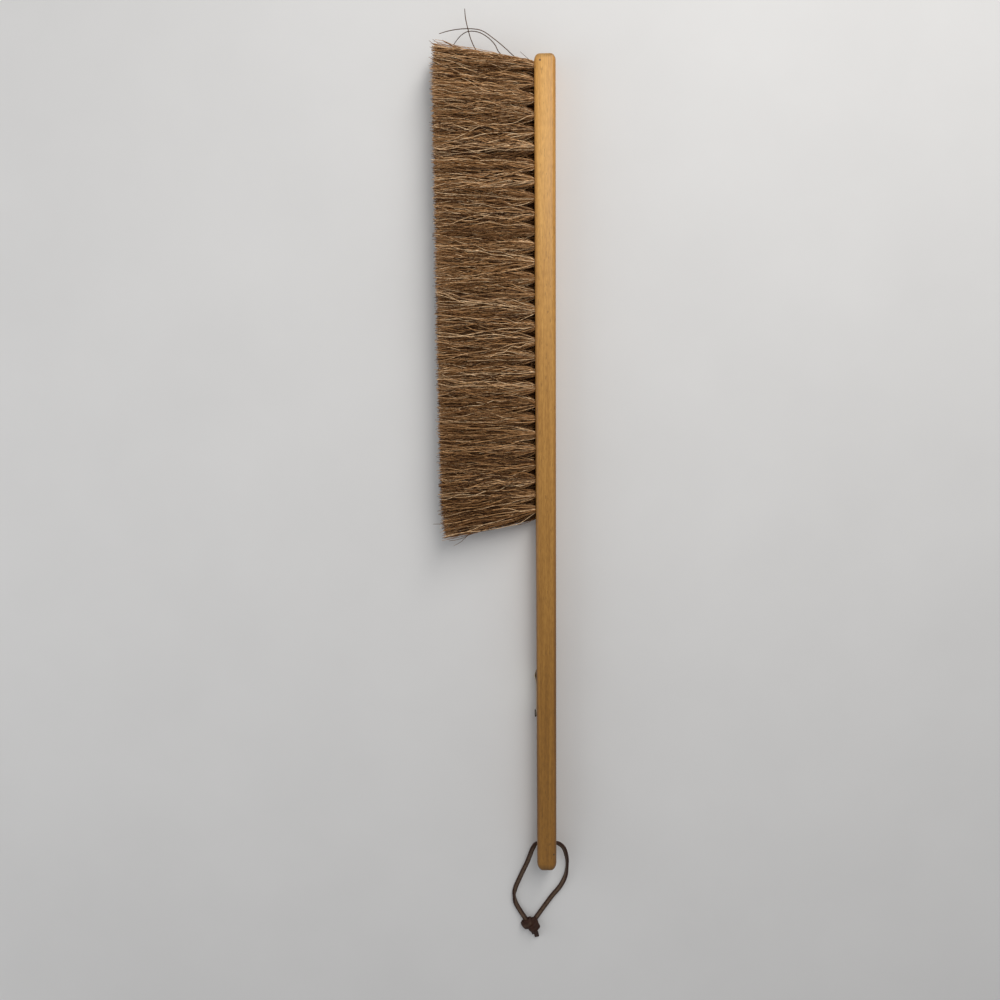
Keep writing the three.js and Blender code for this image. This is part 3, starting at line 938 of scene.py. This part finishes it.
def make_hair(material):
    for name, height, places in rows():
        # The middle row gets painted shade between the rows
        tones = SHADED_INNER_TONES if name == "middle" else OUTER_TONES
        for part, some in enumerate(np.array_split(np.array(places), PIECES_PER_ROW)):
            tufts = [tuft_hairs(y, height, ROW_LEANS[name], tones) for y in some]
            hairs = np.concatenate([lines for lines, _ in tufts])
            shade = np.concatenate([shades for _, shades in tufts])
            piece = add_hair(f"hair_{name}_{part + 1}", hairs, shade, material, HAIR_RADIUS, UNEVEN_SHARE)
            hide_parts(f"tuft_row_{name}")


# Long hairs that stand out of the end of the brush in the photograph: their routes in millimetres, their
# radii and their shade
LONG_STRAYS = [
    [(-38, 333, 23), (-46, 337, 24), (-52.6, 343.8, 25), (-57.9, 354, 26), (-60.1, 361.5, 27), (-62, 370, 27),
     (-62.6, 377, 26)],
    [(-9, 335, 22), (-22, 339.8, 24), (-31.5, 347.3, 27), (-41.6, 355, 28), (-49.9, 360.2, 28),
     (-62.8, 362.2, 26), (-74.9, 361.6, 24), (-83.4, 360.1, 22)],
    [(-20, 335, 21), (-35.6, 344, 24), (-39.4, 350.2, 26), (-45.8, 356, 27), (-53.1, 359.5, 27),
     (-61, 360, 26), (-66.6, 357, 25), (-72.4, 351, 23)],
    [(-5, 334, 21), (-12.6, 339, 24), (-19.6, 344.4, 26)],
    [(-40, 338, 22), (-66.8, 347.3, 24), (-71.5, 349.6, 24), (-80.9, 354.6, 24)],
]
LONG_STRAY_RADII = np.array((0.5, 0.4, 0.42, 0.2, 0.5)) * MM
LONG_STRAY_SHADE = 0.03

# Shorter ones at both corners of the tips, and one by the bar
CORNER_STRAYS = [
    [(-78, 345, 22), (-84, 348.1, 23), (-87.4, 351.7, 23), (-91.5, 355.1, 22)],
    [(-72, 343, 22), (-79.8, 348, 23), (-84.3, 352.4, 23), (-88.8, 356.1, 22)],
    [(-66, 341, 22), (-76.1, 345.1, 23), (-85.1, 347.8, 23), (-91.2, 350.4, 22)],
    [(-40, -29, 20), (-53.9, -35.2, 22), (-63.7, -40.5, 22), (-71.9, -48.3, 21), (-78.1, -52, 20)],
    [(-44, -31, 20), (-58, -37.7, 22), (-68.6, -44.2, 22), (-76, -46.7, 21), (-82.5, -47.9, 20)],
    [(-55, -33, 20), (-67.7, -39.3, 22), (-74.3, -43.4, 21), (-80, -45.8, 20)],
    [(-66, -31, 24), (-79.8, -32.3, 24), (-88.8, -32.6, 23), (-95.7, -33, 22)],
    [(-6, -26, 18), (-9.4, -28.4, 20), (-15, -31.6, 21), (-22.3, -33.7, 21), (-28.8, -33.2, 20)],
]
CORNER_STRAY_RADIUS = 0.24 * MM
CORNER_STRAY_SHADE = 0.25

# Steps to a span of their routes, and number of points in the end
STRAY_SPAN_STEPS = 8
STRAY_STEPS = 24


def make_strays(name, routes, shade, radius, material):
    """Single hairs along routes in millimetres."""
    lines = []
    for route in routes:
        line = through(np.array(route) * MM, STRAY_SPAN_STEPS)
        share = np.linspace(0, 1, len(line))
        spaced = np.linspace(0, 1, STRAY_STEPS)
        lines.append(np.stack([np.interp(spaced, share, line[:, axis]) for axis in range(3)], 1))
    lines = np.array(lines)
    add_hair(name, lines, np.full(lines.shape[:2], shade), material, radius)


# Lace and knot

# Corners of a strip and their steps, and the parts of its half width at which its wide faces have points
LACE_CORNER = 0.65 * MM
LACE_CORNER_STEPS = 3
CROWN_PARTS = (0.5, 0.0, -0.5)

# Gap between the lace and the table, steps to a span of its route, and its roll inside the hole in degrees
LACE_CLEARANCE = 0.1 * MM
LACE_SPAN_STEPS = 10
ROLL_IN_HOLE = 85


def strip_section(width, thickness, crown):
    """Points round a flat strip with eased corners. Its two wide faces have points between the corners, which
    rise to a crown."""
    flat = width / 2 - LACE_CORNER
    section = []
    for corner, (x, y) in enumerate(((1, 1), (-1, 1), (-1, -1), (1, -1))):
        for step in range(LACE_CORNER_STEPS + 1):
            angle = math.pi / 2 * (corner + step / LACE_CORNER_STEPS)
            section.append((
                x * flat + LACE_CORNER * math.cos(angle),
                y * (thickness / 2 - LACE_CORNER) + LACE_CORNER * math.sin(angle)))
        if x == y:
            for part in CROWN_PARTS:
                rise = crown * (1 - part * part)
                section.append((x * flat * part, y * (thickness / 2 + rise)))
    return np.array(section)


def strip_data(centres, normals, width, thickness, crown=0.0, sheen_and_wear=1.0):
    """A flat strip with eased corners swept along centres: vertices, faces and how far each vertex is from
    the light middle, a painted sheen, which is fainter where the leather is less worn."""
    tangents = unit(np.gradient(centres, axis=0))
    normals = unit(normals - np.sum(normals * tangents, 1, keepdims=True) * tangents)
    across = np.cross(tangents, normals)
    section = strip_section(width, thickness, crown)
    rings = (
        centres[:, None, :]
        + across[:, None, :] * section[None, :, :1]
        + normals[:, None, :] * section[None, :, 1:])
    sides = len(section)
    faces = []
    for ring in range(len(centres) - 1):
        for side in range(sides):
            here = ring * sides + side
            beside = ring * sides + (side + 1) % sides
            faces.append((here, beside, beside + sides, here + sides))
    last = (len(centres) - 1) * sides
    faces.append(tuple(reversed(range(sides))))
    faces.append(tuple(range(last, last + sides)))
    # Share towards the painted sheen of the light middle, partly wear
    share = 1 - sheen_and_wear * (1 - np.abs(section[:, 0]) / (width / 2))
    return rings.reshape(-1, 3), faces, np.tile(share, len(centres))


def add_strips(name, strips, material):
    """Several swept strips as one piece of leather."""
    faces = []
    start = 0
    for vertices, strip_faces, _ in strips:
        faces += [tuple(start + corner for corner in face) for face in strip_faces]
        start += len(vertices)
    piece = add_piece(name, np.concatenate([strip[0] for strip in strips]), faces, material, "hang_loop")
    add_values(piece, "across", np.concatenate([strip[2] for strip in strips]))
    return piece


def lace_place(side, place):
    """A route point on the tuft side (-1) or the back side (+1), with the roll of the strip."""
    out, along, height, roll = place
    face = TUFT_FACE_X if side < 0 else BACK_FACE_X
    return (face + side * out, LACE_HOLE.y + along, height, roll)


def make_lace(material):
    quarter = BACK_FACE_X / 2
    route = [lace_place(-1, place) for place in reversed(TUFT_SIDE_LEG)]
    route += [(x, LACE_HOLE.y, LACE_HOLE.z, ROLL_IN_HOLE) for x in (-quarter, quarter)]
    route += [lace_place(1, place) for place in BACK_SIDE_LEG]
    line = through(route, LACE_SPAN_STEPS)
    centres = line[:, :3]
    roll = np.radians(line[:, 3])[:, None]
    tangents = unit(np.gradient(centres, axis=0))
    upright = unit(UP - tangents * tangents[:, 2:])
    level = np.cross(tangents, upright)
    normals = np.cos(roll) * upright + np.sin(roll) * level
    across = np.cross(tangents, normals)
    half_height = np.abs(across[:, 2]) * LACE_WIDTH / 2 + np.abs(normals[:, 2]) * LACE_THICKNESS / 2
    centres[:, 2] = np.maximum(centres[:, 2], half_height + LACE_CLEARANCE)
    lace = add_strips("lace", [strip_data(centres, normals, LACE_WIDTH, LACE_THICKNESS)], material)
    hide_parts("hang_lace")


# Overhand knot in the doubled lace, in millimetres from its centre: its turns, from the inside out, each with
# its centre, its lean in degrees, its half length, its half height, its width and how strong its light middle
# is: painted sheen, partly wear
KNOT_TURNS = [
    ((0.2, 3.6, 0.1), 20, 5.2, 1.8, 8.6, 0.3),
    ((-2.8, 3.6, 0.0), 33, 4.8, 2.6, 7.4, 0.5),
    ((2.6, 0.2, 0.4), 38, 4.1, 3.2, 6.8, 0.3),
]

# Thickness and crown of the doubled lace, the angles that a turn runs between, its steps, and its drift along
# the knot to each side, in millimetres
KNOT_STRIP_THICKNESS = 1.7 * MM
KNOT_CROWN = 0.5 * MM
KNOT_TURN_ENDS = (-0.6 * math.pi, 1.45 * math.pi)
KNOT_STEPS = 40
KNOT_DRIFT = 0.3

# Tails of the knot, in millimetres from its centre, the steps to a span, and how strong their light middle
# is:
# painted sheen, partly wear
KNOT_TAILS = [
    [(2.6, -2.6, 0.4), (4.4, -6.2, -0.9), (5.4, -10.8, -2.6)],
    [(-0.4, -2.8, -1.2), (1.6, -5.4, -2.4), (3.0, -8.2, -3.0)],
]
TAIL_SPAN_STEPS = 8
TAIL_SHEEN_AND_WEAR = 0.4


def knot_turn(centre, lean, half_length, half_height, width, sheen_and_wear):
    """One turn of the doubled lace round the knot."""
    lean = math.radians(lean)
    way = np.array((math.cos(lean), math.sin(lean), 0.0))
    axis = np.array((-math.sin(lean), math.cos(lean), 0.0))
    angles = np.linspace(*KNOT_TURN_ENDS, KNOT_STEPS)[:, None]
    ring = np.array(centre) + way * half_length * np.cos(angles) + UP * half_height * np.sin(angles)
    facing = way * np.cos(angles) / half_length + UP * np.sin(angles) / half_height
    drift = axis * np.linspace(-KNOT_DRIFT, KNOT_DRIFT, KNOT_STEPS)[:, None]
    middles = (ring + drift) * MM + np.array(KNOT_CENTRE)
    return strip_data(middles, facing, width * MM, KNOT_STRIP_THICKNESS, KNOT_CROWN, sheen_and_wear)


def make_knot(material):
    strips = [knot_turn(*turn) for turn in KNOT_TURNS]
    for tail in KNOT_TAILS:
        middles = through(np.array(tail) * MM + np.array(KNOT_CENTRE), TAIL_SPAN_STEPS)
        facing = np.tile(UP, (len(middles), 1))
        strips.append(strip_data(middles, facing, LACE_WIDTH, LACE_THICKNESS, sheen_and_wear=TAIL_SHEEN_AND_WEAR))
    knot = add_strips("overhand_knot", strips, material)
    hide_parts("lace_knot")
    return knot


make_camera()
make_floor()
make_light()
leather = leather_material()
knot = make_knot(leather)
make_lace(leather)
make_bar(wood_material())
horsehair = hair_material()
make_hair(horsehair)
make_strays("long_strays", LONG_STRAYS, LONG_STRAY_SHADE, LONG_STRAY_RADII, horsehair)
make_strays("corner_strays", CORNER_STRAYS, CORNER_STRAY_SHADE, CORNER_STRAY_RADIUS, horsehair)
make_label(paper_material())

bpy.context.scene.view_settings.view_transform = "Standard"
